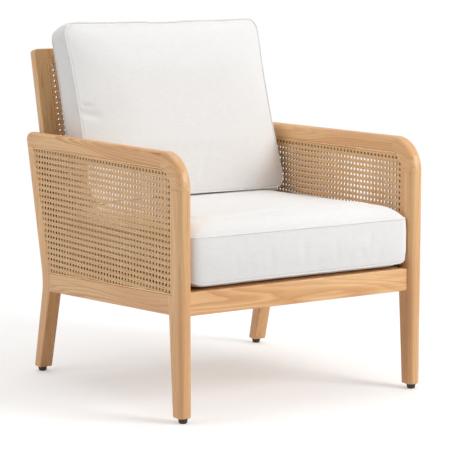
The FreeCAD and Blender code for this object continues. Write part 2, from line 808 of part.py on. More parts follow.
def add_side_frames(nodes):
    pieces = side_members()
    pieces["outer_cane"] = side_cane(half_width, -1.0)
    pieces["inner_cane"] = side_cane(inner_x, 1.0)
    pieces["outer_spline"] = side_spline(half_width, -1.0)
    pieces["inner_spline"] = side_spline(inner_x, 1.0)
    for name, shape in pieces.items():
        nodes["right_" + name] = shape
        nodes["left_" + name] = mirrored(shape)


def add_back(nodes):
    nodes.update(back_members())
    nodes["back_front_cane"] = back_cane(0.0, 1.0)
    nodes["back_rear_cane"] = back_cane(back_thickness, -1.0)
    nodes["back_front_spline"] = back_spline(0.0, 1.0)
    nodes["back_rear_spline"] = back_spline(back_thickness, -1.0)


def add_seat(nodes):
    for name, (rail, tenon), legs in (("front_rail", front_rail(), "front_leg"),
                                      ("rear_rail", rear_rail(), "rear_leg")):
        nodes[name] = rail
        carve(nodes, ["left_" + legs, "right_" + legs], [tenon])
    for index in range(slat_count):
        nodes["seat_slat_" + str(index + 1)] = slat(index)
    blocks = {"seat_cleat": cleat(), "front_corner_block": corner_block(deck_front_y, 1.0),
              "rear_corner_block": corner_block(rear_rail_front_y, -1.0)}
    for name, shape in blocks.items():
        nodes["right_" + name] = shape
        nodes["left_" + name] = mirrored(shape)


def add_fixings(nodes):
    sides = (-1.0, 1.0)
    groups = {"slat_screws": slat_screws(sides), "cleat_screws": cleat_screws(sides),
              "block_screws": block_screws(sides), "back_dowels": back_dowels(sides)}
    wooden = [name for name in nodes if "cane" not in name and "spline" not in name]
    for name, solids in groups.items():
        carve(nodes, wooden, solids)
        nodes[name] = Part.makeCompound(solids)


def add_glides(nodes):
    inserts = []
    feet = {"front": front_foot_width / 2, "rear": rear_foot_back[0] - rear_foot_width / 2}
    for name, y in feet.items():
        foot, sleeve = glide(y), glide_insert(y)
        for side, turn in (("right_", lambda shape: shape), ("left_", mirrored)):
            nodes[side + name + "_glide"] = turn(foot)
            inserts.append(turn(sleeve))
            carve(nodes, [side + name + "_leg"], [turn(foot), turn(sleeve)])
    nodes["glide_inserts"] = Part.makeCompound(inserts)


def build():
    nodes = {}
    add_side_frames(nodes)
    add_back(nodes)
    add_seat(nodes)
    add_fixings(nodes)
    add_glides(nodes)
    nodes["seat_cushion"] = seat_cushion()
    nodes["back_cushion"] = back_cushion()
    return nodes


def centre_on_depth(nodes):
    """Move everything so that the chair's box is centred on Y."""
    bounds = [shape.optimalBoundingBox(False, False) for shape in nodes.values()]
    low = min(bound.YMin for bound in bounds)
    high = max(bound.YMax for bound in bounds)
    for shape in nodes.values():
        shape.translate(Vec(0, -(low + high) / 2, 0))
    print("front of the legs at y", round(-(low + high) / 2, 2), "depth", round(high - low, 2))


def main():
    nodes = build()
    centre_on_depth(nodes)
    os.makedirs("parts", exist_ok=True)
    for name, shape in nodes.items():
        shape.exportStep("parts/" + name + ".step")
    print("nodes:", len(nodes))


main()
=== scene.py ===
import json
import math
import random

import bmesh
import bpy
from mathutils import Matrix, Vector, kdtree, noise

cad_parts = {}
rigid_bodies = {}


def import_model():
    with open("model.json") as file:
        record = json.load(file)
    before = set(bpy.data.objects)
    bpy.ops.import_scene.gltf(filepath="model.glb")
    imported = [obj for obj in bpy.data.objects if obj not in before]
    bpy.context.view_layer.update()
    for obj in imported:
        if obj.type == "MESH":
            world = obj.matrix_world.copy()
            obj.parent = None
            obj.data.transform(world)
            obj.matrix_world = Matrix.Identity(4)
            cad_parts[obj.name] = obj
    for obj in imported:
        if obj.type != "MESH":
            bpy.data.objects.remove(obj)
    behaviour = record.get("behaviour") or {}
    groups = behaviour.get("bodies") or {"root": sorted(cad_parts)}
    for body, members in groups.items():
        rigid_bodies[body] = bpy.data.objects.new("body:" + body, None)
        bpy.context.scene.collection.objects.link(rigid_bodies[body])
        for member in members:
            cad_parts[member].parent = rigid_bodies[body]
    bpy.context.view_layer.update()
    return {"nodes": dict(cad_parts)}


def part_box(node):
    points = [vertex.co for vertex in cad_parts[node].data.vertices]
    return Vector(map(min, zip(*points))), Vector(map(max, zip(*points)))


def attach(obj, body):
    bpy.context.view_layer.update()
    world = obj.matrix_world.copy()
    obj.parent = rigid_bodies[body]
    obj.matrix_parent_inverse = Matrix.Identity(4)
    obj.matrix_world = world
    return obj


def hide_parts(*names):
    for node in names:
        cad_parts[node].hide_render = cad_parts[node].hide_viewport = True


for thing in list(bpy.data.objects):
    bpy.data.objects.remove(thing)
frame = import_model()
nodes = frame["nodes"]
print("frame loaded:", len(nodes), "nodes")


def clearSelection():
    for thing in bpy.context.view_layer.objects:
        thing.select_set(False)


def pick(*things):
    clearSelection()
    for thing in things:
        thing.select_set(True)
    bpy.context.view_layer.objects.active = things[0]


def addObject(name, data):
    made = bpy.data.objects.new(name, data)
    bpy.context.scene.collection.objects.link(made)
    return made


def newCurve(name, dimensions="3D"):
    curve = bpy.data.curves.new(name, "CURVE")
    curve.dimensions = dimensions
    return curve


def addLine(curve, places, closed=False):
    line = curve.splines.new("POLY")
    line.points.add(len(places) - 1)
    for point, place in zip(line.points, places):
        point.co = (*place, 1)
    line.use_cyclic_u = closed


def curveToMesh(name, curve, material):
    pick(addObject(name, curve))
    bpy.ops.object.convert(target="MESH")
    made = bpy.context.object
    made.data.materials.clear()
    made.data.materials.append(material)
    return made


# Camera, at the photograph's place, in metres and degrees

cameraView = {
    "place": (-2.6902, -4.1523, 1.0913),
    "yaw": 33.19,
    "down": 7.99,
    "lens": 156.8,
    "sensor": 36.0,
    "clipEnd": 50,
}


def addCamera():
    turn = (math.radians(90 - cameraView["down"]), 0, math.radians(-cameraView["yaw"]))
    bpy.ops.object.camera_add(location=cameraView["place"], rotation=turn)
    camera = bpy.context.object
    camera.data.lens = cameraView["lens"]
    camera.data.sensor_width = cameraView["sensor"]
    camera.data.clip_end = cameraView["clipEnd"]
    bpy.context.scene.camera = camera
    print("camera set")


# Shader helpers: a socket that takes part in sums, and one method for every other node

class Field:
    def __init__(self, finish, socket):
        self.finish = finish
        self.socket = socket

    def math(self, operation, *others):
        values = dict(enumerate((self,) + others))
        return self.finish.out("Math", {"operation": operation}, values)

    def flipped(self, operation, other):
        return self.finish.out("Math", {"operation": operation}, {0: other, 1: self})

    def __add__(self, other):
        return self.math("ADD", other)

    def __radd__(self, other):
        return self.flipped("ADD", other)

    def __sub__(self, other):
        return self.math("SUBTRACT", other)

    def __rsub__(self, other):
        return self.flipped("SUBTRACT", other)

    def __mul__(self, other):
        return self.math("MULTIPLY", other)

    def __rmul__(self, other):
        return self.flipped("MULTIPLY", other)

    def __truediv__(self, other):
        return self.math("DIVIDE", other)

    def __rtruediv__(self, other):
        return self.flipped("DIVIDE", other)

    def __pow__(self, other):
        return self.math("POWER", other)


# The nodes of a material or of the world
class Finish:
    def __init__(self, owner):
        self.owner = owner
        owner.use_nodes = True
        self.tree = owner.node_tree
        self.tree.nodes.clear()

    def node(self, kind, settings=None, values=None):
        made = self.tree.nodes.new("ShaderNode" + kind)
        for key, value in (settings or {}).items():
            setattr(made, key, value)
        for key, value in (values or {}).items():
            self.plug(made.inputs[key], value)
        return made

    def out(self, kind, settings=None, values=None, output=0):
        return Field(self, self.node(kind, settings, values).outputs[output])

    def plug(self, socket, value):
        if isinstance(value, Field):
            self.tree.links.new(value.socket, socket)
        elif isinstance(value, bpy.types.Node):
            self.tree.links.new(value.outputs[0], socket)
        else:
            socket.default_value = value

    def mix(self, share, first, second, blend="MIX"):
        settings = {"data_type": "RGBA", "blend_type": blend}
        return self.out("Mix", settings, {0: share, 6: first, 7: second}, 2)

    # Object coordinates turned into a piece's own frame, with z along its grain.
    def local(self, centre=(0, 0, 0), turn=(0, 0, 0)):
        place = self.out("TexCoord", output="Object")
        values = {"Vector": place, "Location": centre, "Rotation": turn}
        return self.out("Mapping", {"vector_type": "TEXTURE"}, values)

    # A scale may be given for each axis, to stretch the noise along the grain.
    def noise(self, vector, scale, detail=2.0, rough=0.5):
        if isinstance(scale, tuple):
            values = {0: vector, 1: scale}
            vector = self.out("VectorMath", {"operation": "MULTIPLY"}, values)
            scale = 1.0
        values = {"Vector": vector, "Scale": scale, "Detail": detail, "Roughness": rough}
        return self.out("TexNoise", None, values)

    def split(self, vector):
        parts = self.node("SeparateXYZ", None, {0: vector})
        return [Field(self, parts.outputs[axis]) for axis in range(3)]

    def soft(self, value, low, high):
        settings = {"interpolation_type": "SMOOTHSTEP"}
        return self.out("MapRange", settings, {0: value, 1: low, 2: high})

    def surface(self, height, strength, distance, values):
        bump = {"Height": height, "Strength": strength, "Distance": distance}
        values = {**values, "Normal": self.out("Bump", None, bump)}
        shader = self.node("BsdfPrincipled", None, values)
        self.node("OutputMaterial", None, {0: shader})
        return self.owner


def newFinish(name):
    return Finish(bpy.data.materials.new(name))


def paint(code):
    def linear(value):
        share = value / 255
        return share / 12.92 if share <= 0.04045 else ((share + 0.055) / 1.055) ** 2.4
    return tuple(linear(int(code[i:i + 2], 16)) for i in (0, 2, 4)) + (1.0,)


# Wood: growth rings round a tilted pith, fine pores along the grain

woodLook = {
    "early": "CD935B",
    "late": "EDC28D",
    "warm": "CE8B58",
    "pore": "A8703F",
    "ringSpace": 0.0046,
    "slowScale": (7.0, 7.0, 1.6),  # noises, per metre across and along the grain
    "wanderScale": (30.0, 30.0, 4.0),
    "poreScale": (1150.0, 1150.0, 26.0),
    "fibreScale": (340.0, 340.0, 7.0),
    "streakScale": (90.0, 90.0, 2.4),
    "yearScale": 3.7,
    "slowWander": 0.036,  # how far the rings stray
    "fineWander": 0.0072,
    "slowWarm": 0.45,  # shares of a colour in the mix
    "streakWarm": 0.5,
    "poreDark": 0.42,
    "light": 0.95,
    "fibreLight": 0.10,
    "rough": 0.30,
    "poreRough": 0.25,
    "fibreRough": 0.10,
    "ringRise": 0.2,  # shares of the bump
    "poreRise": 0.8,
    "fibreRise": 0.25,
    "bump": 0.16,
    "bumpDepth": 0.0003,
}

grainUp = (0.0, 0.0, 0.0)
grainBack = (math.radians(-90), 0.0, 0.0)
grainAcross = (0.0, math.radians(90), 0.0)


# Pale late wood against darker early wood, stronger in some years than in others
def growthRings(finish, place, slow, wander, pith, tilt, contrast, seed):
    x, y, z = finish.split(place)
    u = x - pith[0] - z * tilt[0]
    v = y - pith[1] - z * tilt[1]
    radius = (u * u + v * v) ** 0.5 + (slow - 0.5) * woodLook["slowWander"]
    radius = radius + (wander - 0.5) * woodLook["fineWander"] + seed
    years = radius / woodLook["ringSpace"]
    season = years.math("FRACT")
    number = finish.out("CombineXYZ", None, {0: years.math("FLOOR")})
    year = finish.noise(number, woodLook["yearScale"], 0.0)
    ring = finish.soft(season, 0.0, 0.7) * (1.0 - finish.soft(season, 0.72, 1.0))
    return 1.0 - (1.0 - ring) * finish.soft(year, 0.25, 0.75) * contrast


def woodFinish(name, centre, turn, pith, tilt, toneAndShade=0.0, contrast=1.0, seed=0.0,
               mark=None, lines=None):
    finish = newFinish(name)
    look = woodLook
    place = finish.local(centre, turn)
    slow = finish.noise(place, look["slowScale"])
    wander = finish.noise(place, look["wanderScale"], 3.0)
    ring = growthRings(finish, place, slow, wander, pith, tilt, contrast, seed)
    pores = finish.noise(place, look["poreScale"], 2.0, 0.6)
    pores = finish.soft(pores, 0.56, 0.74) * (1.0 - ring * 0.6)
    fibre = finish.noise(place, look["fibreScale"], 3.0, 0.6)
    streak = finish.noise(place, look["streakScale"])
    warm, pore = paint(look["warm"]), paint(look["pore"])
    shade = finish.mix(ring, paint(look["early"]), paint(look["late"]))
    shade = finish.mix(finish.soft(slow, 0.35, 0.75) * look["slowWarm"], shade, warm)
    shade = finish.mix(finish.soft(streak, 0.5, 0.72) * look["streakWarm"], shade, warm)
    shade = finish.mix(pores * look["poreDark"], shade, pore)
    if mark is not None:
        shade = finish.mix(darkStreak(finish, mark, wander), shade, pore)
    if lines is not None:
        shade = finish.mix(lipShade(finish, lines) * lip["share"], shade, paint(lip["colour"]))
    light = look["light"] + toneAndShade + fibre * look["fibreLight"]
    grey = finish.out("CombineXYZ", None, {0: light, 1: light, 2: light})
    shade = finish.mix(1.0, shade, grey, "MULTIPLY")
    rough = look["rough"] + pores * look["poreRough"] + fibre * look["fibreRough"]
    height = ring * look["ringRise"] - pores * look["poreRise"] + fibre * look["fibreRise"]
    values = {"Base Color": shade, "Roughness": rough}
    return finish.surface(height, look["bump"], look["bumpDepth"], values)


# The lip behind the webbing: the middle of a side frame and half its inner width along x, and
# how far the groove goes beyond the webbing
lip = {"colour": "5E3A1E", "share": 0.85, "middle": 0.338, "half": 0.0173, "grow": 0.0052}


# Behind the webbing, and in the groove of its spline, the wood lies in shade
def lipShade(finish, lines):
    x, y, z = finish.split(finish.local())
    inside = None
    for nu, nv, reach in lines:
        room = reach + lip["grow"] - (y * nu + z * nv)
        inside = room if inside is None else inside.math("MINIMUM", room)
    return finish.soft(inside, 0.0, 0.0003) * betweenFaces(finish, x, lip["half"])


# 1 between the two faces of a side frame, 0 at them
def betweenFaces(finish, x, half):
    off = (x.math("ABSOLUTE") - lip["middle"]).math("ABSOLUTE")
    return finish.soft(half - off, 0.0, 0.0004)


# Dark figures in the grain: start, way along y, length and half width in metres
woodMarks = {
    "left_arm_rail": ((-0.3537, -0.3137, 0.6235), 1.0, 0.16, 0.0050),
}
markLook = {"share": 0.75, "bend": 0.02, "core": 0.4, "start": 0.002, "end": 0.05}


# It starts at a point and runs along the grain, ever thinner
def darkStreak(finish, mark, wander):
    start, way, reach, width = mark
    x, y, z = finish.split(finish.local(start, grainBack))
    along = z * way
    bend = (wander - 0.5) * markLook["bend"]
    off = ((x + bend) * (x + bend) + (y + bend) * (y + bend)) ** 0.5
    room = (1.0 - along / reach) * width
    inside = finish.soft(along, 0.0, markLook["start"])
    inside = inside * finish.soft(room, 0.0, width * markLook["end"])
    return (1.0 - finish.soft(off / room, markLook["core"], 1.0)) * inside * markLook["share"]


# Grain, pith beside the piece (m), tilt of the pith, brightness step with painted shade, ring
# contrast
woodPieces = {
    "left_front_leg": (grainUp, (0.07, 0.02), (0.008, 0.004), -0.01, 0.8),
    "right_front_leg": (grainUp, (-0.05, 0.05), (-0.01, 0.006), 0.0, 0.8),
    "left_arm_corner": (grainBack, (0.05, -0.04), (0.05, 0.09), -0.03, 0.8),
    "right_arm_corner": (grainBack, (-0.06, 0.05), (0.03, -0.08), -0.02, 0.9),
    "left_arm_rail": (grainBack, (0.03, 0.035), (0.015, -0.045), 0.01, 1.0),
    "right_arm_rail": (grainBack, (-0.06, -0.045), (0.01, 0.02), 0.0, 0.9),
    "left_side_rail": (grainBack, (0.045, 0.05), (0.02, 0.05), 0.0, 1.0),
    "right_side_rail": (grainBack, (-0.05, 0.06), (-0.02, 0.04), 0.0, 1.0),
    "left_rear_leg": (grainUp, (0.05, -0.06), (0.02, -0.03), 0.0, 0.9),
    "right_rear_leg": (grainUp, (-0.05, -0.07), (-0.02, -0.02), -0.01, 0.9),
    "front_rail": (grainAcross, (0.01, 0.045), (0.10, 0.02), 0.075, 0.8),
    "rear_rail": (grainAcross, (-0.02, 0.05), (0.04, 0.02), 0.0, 0.9),
    # The left back stile is darker by a painted shade, where the back cushion shades it
    "back_left_stile": (grainUp, (0.05, 0.04), (0.01, 0.24), -0.07, 0.9),
    "back_right_stile": (grainUp, (-0.05, 0.05), (-0.02, 0.24), -0.02, 0.9),
    "back_top_rail": (grainAcross, (0.03, 0.05), (0.05, 0.01), 0.0, 0.9),
    "back_bottom_rail": (grainAcross, (-0.04, 0.04), (0.06, 0.01), 0.0, 0.9),
}
framedPieces = ("front_leg", "arm_corner", "arm_rail", "side_rail", "rear_leg")
hiddenWood = ((0.03, 0.05), (0.02, 0.03), 0.02, 0.6)
dowelWood = ((0.01, 0.02), (0.0, 0.0), 0.0, 0.5)
woodStep = 0.0013  # the rings start a little further out on each piece
hiddenStep = 0.0031


def middleOf(name):
    low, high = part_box(name)
    return (low + high) / 2


def setWood(name, label, *look):
    made = woodFinish(label, middleOf(name), *look)
    nodes[name].data.materials[0] = made


def finishWood():
    sheet = Sheet("right_inner_cane", Vector((0, 1, 0)), Vector((0, 0, 1)), sideAngles(False))
    for order, (name, look) in enumerate(woodPieces.items()):
        lines = sheet.lines if name.endswith(framedPieces) else None
        setWood(name, name + "_wood", *look, order * woodStep, woodMarks.get(name), lines)
    plain = [name for name in nodes if "slat_" in name or "cleat" in name or "corner_block" in name]
    for order, name in enumerate(sorted(plain)):
        if "screws" not in name:
            turn = grainAcross if "slat" in name else grainBack
            setWood(name, name + "_wood", turn, *hiddenWood, order * hiddenStep)
    setWood("back_dowels", "dowel_wood", grainAcross, *dowelWood)
    print("wood finished")


# Woven cane, in metres

cane = {
    "pitch": 0.0144,
    "pairHalf": 0.00212,  # half the distance of the two strands of a pair
    "width": 0.0029,
    "thick": 0.0005,
    "topShare": 0.62,  # a strand's top is narrower than its underside
    "weaveRise": 0.00026,
    "diagonalRise": 0.0006,
    "tuck": 0.0016,  # at its ends a strand dips into the groove
    "tuckRun": 0.0015,
    "endRoom": 0.003,
    "shortest": 0.004,
    "lap": 0.0009,
    "jitter": 0.0001,
    "slantJitter": 0.00015,
    "depth": 0.00085,
    "smoothAngle": 50,
}

caneLook = {
    "colour": "F0C896",
    "shade": "E3B17B",
    "pale": "F2D6AA",
    # inside: a painted shade, dark brown, on the strands that lie between the two faces of a frame
    "inside": "6B4524",
    "paintedShadeHalf": 0.0170,
    "paintedShadeShare": 0.75,
    "fibreScale": (900.0, 900.0, 22.0),
    "strandScale": (150.0, 150.0, 5.0),
    "paleShare": 0.4,
    "rough": 0.34,
    "fibreRough": 0.2,
    "bump": 0.15,
    "bumpDepth": 0.0002,
}

# Materials of the strands, by the way the strands run
caneGrain = {
    "cane_upright": grainUp,
    "cane_level": grainBack,
    "cane_across": grainAcross,
    "cane_slant": (math.radians(-45), 0.0, 0.0),
    "cane_slant_back": (math.radians(45), 0.0, 0.0),
}


def caneFinish(name, turn):
    finish = newFinish(name)
    look = caneLook
    place = finish.local((0, 0, 0), turn)
    fibre = finish.noise(place, look["fibreScale"], 2.0, 0.6)
    strands = finish.noise(place, look["strandScale"], 1.0)
    base = paint(look["shade"]), paint(look["colour"])
    shade = finish.mix(finish.soft(strands, 0.3, 0.7), *base)
    pale = finish.soft(fibre, 0.5, 0.8) * look["paleShare"]
    shade = finish.mix(pale, shade, paint(look["pale"]))
    # Strands between the two faces of a frame get a painted shade, where the interior lies in
    # shadow
    x, y, z = finish.split(finish.local())
    paintedShade = betweenFaces(finish, x, look["paintedShadeHalf"]) * look["paintedShadeShare"]
    shade = finish.mix(paintedShade, shade, paint(look["inside"]))
    values = {"Base Color": shade, "Roughness": look["rough"] + fibre * look["fibreRough"]}
    return finish.surface(fibre, look["bump"], look["bumpDepth"], values)


class Sheet:
    # A flat sheet of cane: its own axes, and the straight lines that bound it.
    def __init__(self, node, across, upwards, angles):
        self.across = across.normalized()
        self.upwards = upwards.normalized()
        self.outwards = self.across.cross(self.upwards)
        corners = [vertex.co for vertex in nodes[node].data.vertices]
        self.face = max(corner.dot(self.outwards) for corner in corners)
        self.us = [corner.dot(self.across) for corner in corners]
        self.vs = [corner.dot(self.upwards) for corner in corners]
        self.lines = []
        for angle in sorted(angles):
            nu, nv = math.cos(math.radians(angle)), math.sin(math.radians(angle))
            reach = max(u * nu + v * nv for u, v in zip(self.us, self.vs))
            self.lines.append((nu, nv, reach))

    def matrix(self, depth):
        place = self.outwards * (self.face - depth)
        columns = (self.across, self.upwards, self.outwards, place)
        rows = [[column[row] for column in columns] for row in range(3)]
        return Matrix(rows + [[0, 0, 0, 1]])

    # Where a straight line through start stays inside the sheet, as distances along it. The
    # lattice may be drawn in across by a share, about the place where its first hole is.
    def span(self, start, way, draw, hold):
        low, high = -math.inf, math.inf
        for nu, nv, reach in self.lines:
            reach, nu = reach - nu * hold * (1.0 - draw), nu * draw
            slope = nu * way[0] + nv * way[1]
            room = reach + cane["lap"] - nu * start[0] - nv * start[1]
            if abs(slope) < 1e-9:
                if room < 0:
                    return None
            elif slope > 0:
                high = min(high, room / slope)
            else:
                low = max(low, room / slope)
        return (low, high) if high - low > cane["shortest"] else None

    # The outline's corners, moved outwards by grow.
    def corners(self, grow):
        made = []
        for index, (au, av, a) in enumerate(self.lines):
            bu, bv, b = self.lines[(index + 1) % len(self.lines)]
            det = au * bv - av * bu
            a, b = a + grow, b + grow
            made.append(((a * bv - b * av) / det, (au * b - bu * a) / det))
        return made


def strandProfile():
    half, thick = cane["width"] / 2, cane["thick"] / 2
    top = half * cane["topShare"]
    curve = newCurve("strand_profile", "2D")
    points = ((-half, -thick, 0), (half, -thick, 0), (top, thick, 0), (-top, thick, 0))
    addLine(curve, points, closed=True)
    return addObject("strand_profile", curve)


def strandCurve(name, runs, profile, material, matrix):
    curve = newCurve(name)
    curve.twist_mode = "Z_UP"
    for run in runs:
        addLine(curve, run)
    curve.bevel_mode = "OBJECT"
    curve.bevel_object = profile
    curve.use_fill_caps = True
    strands = curveToMesh(name, curve, material)
    strands.data.transform(matrix)
    return strands


# The points of one strand; stops(low, high) gives (distance, height) pairs between its ends
def straightRun(sheet, start, way, stops, draw, hold):
    span = sheet.span(start, way, draw, hold)
    if span is None:
        return None
    (low, high), dip, run = span, -cane["tuck"], cane["tuckRun"]
    heights = [(low, dip), (low + run, 0.0)]
    heights += stops(low + cane["endRoom"], high - cane["endRoom"])
    heights += [(high - run, 0.0), (high, dip)]
    return [(start[0] + way[0] * t, start[1] + way[1] * t, height) for t, height in heights]


# An upright or level strand passes over one of a pair that crosses it and under the other
def weaveStops(origin, side):
    pitch, half, rise = cane["pitch"], cane["pairHalf"], cane["weaveRise"]

    def stops(low, high):
        first = math.floor((low - origin) / pitch)
        for index in range(first, first + int((high - low) / pitch) + 3):
            for way in (-1, 1):
                t = origin + index * pitch + way * half
                if low < t < high:
                    yield t, side * way * rise
    return stops


# A diagonal passes over the crossings of one kind and under those of the other
def slantStops(side):
    step = cane["pitch"] / math.sqrt(2)
    half = cane["pairHalf"] * math.sqrt(2)

    def stops(low, high):
        first = math.floor(low / step) - 1
        for index in range(first, first + int((high - low) / step) + 4):
            way = 1 if index % 2 == 0 else -1
            for offset in (-half, half):
                t = index * step + offset
                if low < t < high:
                    yield t, side * way * cane["diagonalRise"]
    return stops


# The numbers of the lattice's lines that reach from the lowest to the highest value
def latticeRange(values, origin):
    pitch = cane["pitch"]
    first = math.floor((min(values) - origin) / pitch)
    return range(first, math.ceil((max(values) - origin) / pitch) + 1)


def weave(name, sheet, hole, draw, materials, profile, seed):
    chance = random.Random(seed)
    pitch, half = cane["pitch"], cane["pairHalf"]
    jitter, slantJitter = cane["jitter"], cane["slantJitter"]
    originU, originV = hole[0] - pitch / 2, hole[1] - pitch / 2
    us = [hole[0] + (u - hole[0]) / draw for u in sheet.us]
    vs = sheet.vs
    edge = (draw, hole[0])
    upright, level, slant, slantBack = [], [], [], []
    for index in latticeRange(us, originU):
        for side in (-1, 1):
            u = originU + index * pitch + side * half + chance.uniform(-jitter, jitter)
            stops = weaveStops(originV, -side)
            upright.append(straightRun(sheet, (u, 0.0), (0.0, 1.0), stops, *edge))
    for index in latticeRange(vs, originV):
        for side in (-1, 1):
            v = originV + index * pitch + side * half + chance.uniform(-jitter, jitter)
            stops = weaveStops(originU, side)
            level.append(straightRun(sheet, (0.0, v), (1.0, 0.0), stops, *edge))
    diagonal = math.sqrt(0.5)
    for family, way in ((slant, 1.0), (slantBack, -1.0)):
        ends = [v - way * u for u in (min(us), max(us)) for v in (min(vs), max(vs))]
        first = originV - way * originU
        for index in latticeRange(ends, first):
            offset = first + (index + 0.5) * pitch + chance.uniform(-slantJitter, slantJitter)
            start = (originU, offset + way * originU)
            stops = slantStops(way)
            family.append(straightRun(sheet, start, (diagonal, way * diagonal), stops, *edge))
    hold = Matrix.Translation((hole[0], 0, 0))
    drawn = hold @ Matrix.Diagonal((draw, 1, 1, 1)) @ hold.inverted()
    matrix = sheet.matrix(cane["depth"]) @ drawn
    parts = []
    for order, (family, material) in enumerate(zip((upright, level, slant, slantBack), materials)):
        runs = [run for run in family if run]
        parts.append(strandCurve(name + "_" + str(order), runs, profile, material, matrix))
    pick(*parts)
    bpy.ops.object.join()
    woven = bpy.context.object
    woven.name = name
    bpy.ops.object.shade_smooth_by_angle(angle=math.radians(cane["smoothAngle"]))
    return woven


# The reed spline that wedges the webbing, mitred at its corners
reed = {
    "inner": 0.0011,  # its two sides, from the webbing's outline
    "outer": 0.0043,
    "proud": 0.0004,
    "round": 0.0012,
    "roundShare": 0.3,
    "depth": 0.005,
    "smoothAngle": 50,
}
reedWood = ((0.2, 0.2), (0.0, 0.0), 0.26, 0.1)


def reedRing(name, sheet, material):
    inner, outer, proud, edge = reed["inner"], reed["outer"], reed["proud"], reed["round"]
    turn = edge * reed["roundShare"]
    profile = [(inner, -reed["depth"]), (inner, proud - edge), (inner + turn, proud - turn),
               (inner + edge, proud), (outer - edge, proud), (outer - turn, proud - turn),
               (outer, proud - edge), (outer, -reed["depth"])]
    mesh = bmesh.new()
    rings = []
    for grow, height in profile:
        rings.append([mesh.verts.new((u, v, height)) for u, v in sheet.corners(grow)])
    for ring, after in zip(rings, rings[1:] + rings[:1]):
        for corner in range(len(ring)):
            following = (corner + 1) % len(ring)
            mesh.faces.new((ring[corner], ring[following], after[following], after[corner]))
    bmesh.ops.recalc_face_normals(mesh, faces=mesh.faces)
    data = bpy.data.meshes.new(name)
    mesh.to_mesh(data)
    mesh.free()
    data.transform(sheet.matrix(0.0))
    data.materials.append(material)
    made = addObject(name, data)
    pick(made)
    bpy.ops.object.shade_smooth_by_angle(angle=math.radians(reed["smoothAngle"]))
    return made


# Directions in which the edges of a side's webbing face, in degrees, and the back's slope
sideEdges = {
    "front": 180,
    "top": 89.45,
    "rear": -14.56,
    "bottom": -93.0,
    "corner": (165, 150, 135, 120, 105),
}
recline = math.radians(12.5)

# The first hole's middle from the sheet's front and top edges, and the lattice's draw
firstHoles = {
    "left_outer": (0.0050, 0.0080, 1.0),
    "left_inner": (0.0072, 0.0166, 1.0),
    "right_inner": (0.0095, 0.0099, 1.0),
    "right_outer": (0.0148, 0.0171, 0.981),
    "back_front": (0.0120, 0.0120, 1.0),
    "back_rear": (0.0095, 0.0060, 1.0),
}


def sideAngles(mirror):
    found = [sideEdges[edge] for edge in ("front", "top", "rear", "bottom")]
    found += sideEdges["corner"]
    if mirror:
        found = [180 - angle for angle in found]
    return [(angle + 180) % 360 - 180 for angle in found]


def caneSheets(uprightCane, levelCane, acrossCane, *slants):
    sheets = []
    for side in ("left", "right"):
        for layer in ("outer", "inner"):
            facesLeft = (side == "left") == (layer == "outer")
            across = Vector((0, -1 if facesLeft else 1, 0))
            name = side + "_" + layer
            sheet = Sheet(name + "_cane", across, Vector((0, 0, 1)), sideAngles(facesLeft))
            sheets.append((name, sheet, (uprightCane, levelCane, *slants), facesLeft))
    slope = Vector((0, math.sin(recline), math.cos(recline)))
    for layer, way in (("front", 1), ("rear", -1)):
        name = "back_" + layer
        sheet = Sheet(name + "_cane", Vector((way, 0, 0)), slope, (0, 90, 180, -90))
        sheets.append((name, sheet, (uprightCane, acrossCane, *slants), False))
    return sheets


def addCane():
    materials = [caneFinish(name, turn) for name, turn in caneGrain.items()]
    profile = strandProfile()
    reedMaterial = woodFinish("spline_reed", (0, 0, 0), grainUp, *reedWood)
    for seed, (name, sheet, strands, flipped) in enumerate(caneSheets(*materials)):
        fromFront, fromTop, draw = firstHoles[name]
        front = max(sheet.us) - fromFront if flipped else min(sheet.us) + fromFront
        hole = (front, max(sheet.vs) - fromTop)
        woven = weave(name + "_webbing", sheet, hole, draw, strands, profile, seed)
        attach(woven, "frame")
        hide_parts(name + "_cane")
        ring = reedRing(name + "_reed", sheet, reedMaterial)
        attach(ring, "frame")
        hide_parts(name + "_spline")
        print(name, "woven with", len(woven.data.polygons), "faces")
    bpy.data.objects.remove(profile)


# Linen cushions

linenLook = {
    "colour": "EBEAE9",
    "shade": "E4E3E1",
    "thread": 1100.0,  # threads per metre
    "threadRise": 0.3,
    "slubScale": (60.0, 420.0, 420.0),
    "slubUpScale": (420.0, 60.0, 60.0),
    "slubShare": 0.6,
    "blotchScale": 9.0,
    "blotchShare": 0.25,
    "rough": 0.92,
    "sheen": 0.1,
    "sheenRough": 0.5,
    "bump": 0.2,
    "bumpDepth": 0.0004,
}


def linenFinish():
    finish = newFinish("linen_cloth")
    look = linenLook
    place = finish.local()
    slub = finish.noise(place, look["slubScale"])
    slubUp = finish.noise(place, look["slubUpScale"])
    turns = look["thread"] * 2 * math.pi
    x, y, z = [(axis * turns).math("SINE") for axis in finish.split(place)]
    weft = x * y + x * z + y * z
    blotch = finish.noise(place, look["blotchScale"])
    base, dark = paint(look["colour"]), paint(look["shade"])
    shade = finish.mix(finish.soft(slub, 0.35, 0.7) * look["slubShare"], base, dark)
    shade = finish.mix(finish.soft(blotch, 0.4, 0.8) * look["blotchShare"], shade, dark)
    height = weft * look["threadRise"] + slub + slubUp
    values = {"Base Color": shade, "Roughness": look["rough"], "Sheen Weight": look["sheen"],
              "Sheen Roughness": look["sheenRough"]}
    return finish.surface(height, look["bump"], look["bumpDepth"], values)


# How both cushions are shaped, pressed and settled, in metres
cushionMake = {
    "voxel": 0.006,
    "weld": 0.00005,
    "smooth": 0.5,
    "firstSmooth": 2,
    "lastSmooth": 3,
    "headFrom": 0.5,  # heights between which the head grows taller
    "headTo": 0.9,
    "baseFrom": 0.46,  # and between which the base reaches less far down
    "baseTo": 0.56,
}

